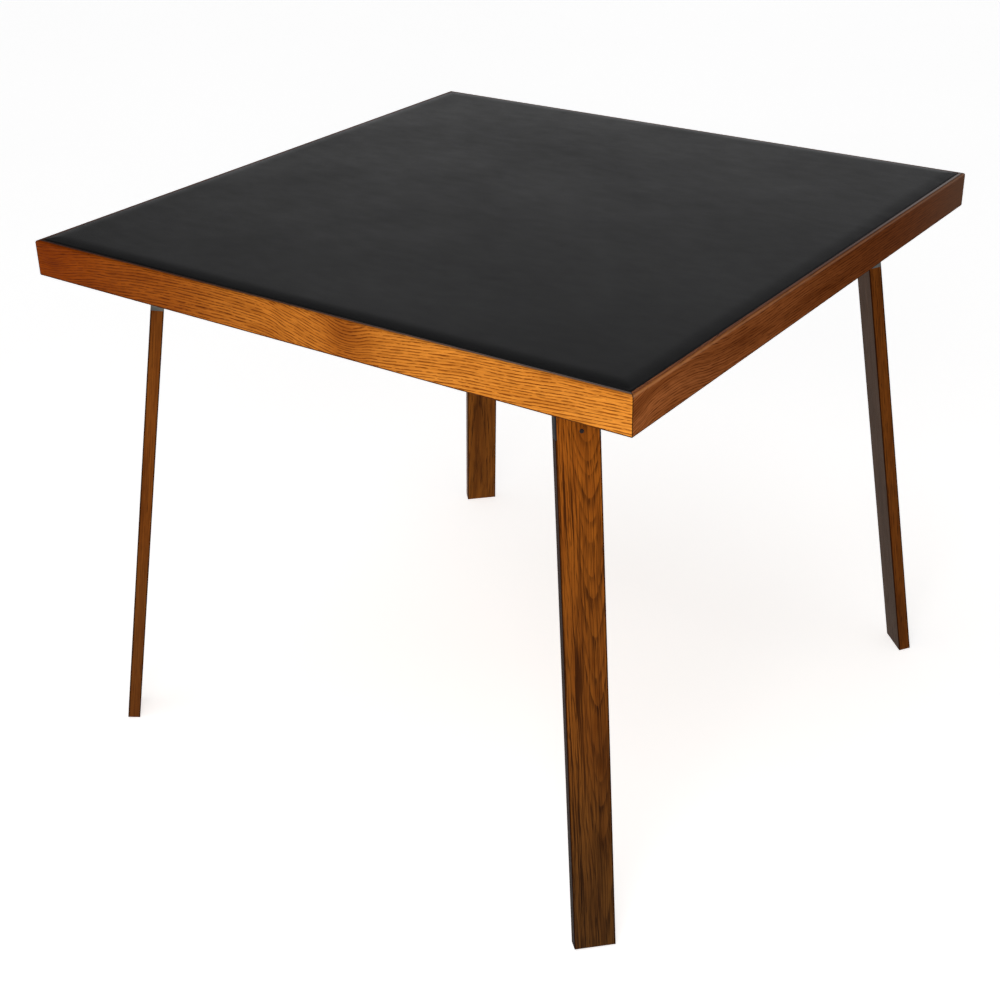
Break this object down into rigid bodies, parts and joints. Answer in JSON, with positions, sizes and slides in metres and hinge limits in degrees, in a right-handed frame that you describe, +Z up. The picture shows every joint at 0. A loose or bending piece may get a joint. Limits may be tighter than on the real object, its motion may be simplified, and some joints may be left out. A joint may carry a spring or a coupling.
{
  "type": "folding card table",
  "caption": "Square card table with an oak rim, a padded black vinyl top and flat splayed oak legs that fold under the top along its diagonals.",
  "frame": {"origin": "on the floor, below the middle of the top", "axes": "+Z up, +X along the front rim, +Y from the front rim to the back rim"},
  "size_m": [0.9014, 0.9014, 0.7313],
  "materials": {
    "rim_oak": "golden oak stain, satin lacquer, mitred corners",
    "leg_oak": "walnut-brown oak stain, satin lacquer",
    "brace_wood": "stained hardwood, unpolished",
    "board_wood": "bare plywood",
    "foam": "cut polyurethane foam",
    "black_vinyl": "fine-grained matte upholstery vinyl",
    "zinc_plate": "zinc-plated screws and staples",
    "hinge_steel": "plain pressed steel, grey",
    "bracket_steel": "plain pressed steel, grey",
    "spring_steel": "blued spring steel",
    "bolt_steel": "turned steel, bright",
    "dark_nut": "dark oxide",
    "rubber": "black rubber"
  },
  "bodies": {
    "top": {"rail_front": "rim_oak", "rail_right": "rim_oak", "rail_back": "rim_oak", "rail_left": "rim_oak", "panel_board": "board_wood", "foam_pad": "foam", "vinyl_cover": "black_vinyl", "cover_staples": "zinc_plate", "brace_front_left": "brace_wood", "brace_front_right": "brace_wood", "brace_back_right": "brace_wood", "brace_back_left": "brace_wood", "brace_screws": "zinc_plate", "panel_screws": "zinc_plate", "hinge_base_front_left": "hinge_steel", "hinge_base_front_right": "hinge_steel", "hinge_base_back_right": "hinge_steel", "hinge_base_back_left": "hinge_steel", "base_plate_screws": "zinc_plate", "base_flange_screws": "zinc_plate", "pivot_bolts": "bolt_steel", "pivot_nuts": "bolt_steel", "spring_washers": "spring_steel", "catch_spring_front_left": "spring_steel", "catch_spring_front_right": "spring_steel", "catch_spring_back_right": "spring_steel", "catch_spring_back_left": "spring_steel", "catch_rivets": "bolt_steel", "leg_bumpers": "rubber"},
    "front_left_leg": {"leg_front_left": "leg_oak", "leg_bracket_front_left": "bracket_steel", "leg_screws_front_left": "bolt_steel", "barrel_nuts_front_left": "dark_nut"},
    "front_right_leg": {"leg_front_right": "leg_oak", "leg_bracket_front_right": "bracket_steel", "leg_screws_front_right": "bolt_steel", "barrel_nuts_front_right": "dark_nut"},
    "back_right_leg": {"leg_back_right": "leg_oak", "leg_bracket_back_right": "bracket_steel", "leg_screws_back_right": "bolt_steel", "barrel_nuts_back_right": "dark_nut"},
    "back_left_leg": {"leg_back_left": "leg_oak", "leg_bracket_back_left": "bracket_steel", "leg_screws_back_left": "bolt_steel", "barrel_nuts_back_left": "dark_nut"}
  },
  "joints": [
    {"name": "fold_front_left", "type": "hinge", "parent": "top", "child": "front_left_leg", "pos_m": [-0.34365, -0.30688, 0.703], "axis": [0.7071, -0.7071, 0], "range_deg": [0, 99.55], "deforming": ["catch_spring_front_left"]},
    {"name": "fold_front_right", "type": "hinge", "parent": "top", "child": "front_right_leg", "pos_m": [0.30688, -0.34365, 0.703], "axis": [0.7071, 0.7071, 0], "range_deg": [0, 97], "deforming": ["catch_spring_front_right"]},
    {"name": "fold_back_right", "type": "hinge", "parent": "top", "child": "back_right_leg", "pos_m": [0.34365, 0.30688, 0.703], "axis": [-0.7071, 0.7071, 0], "range_deg": [0, 99.55], "deforming": ["catch_spring_back_right"]},
    {"name": "fold_back_left", "type": "hinge", "parent": "top", "child": "back_left_leg", "pos_m": [-0.30688, 0.34365, 0.703], "axis": [-0.7071, -0.7071, 0], "range_deg": [0, 97], "deforming": ["catch_spring_back_left"]}
  ]
}
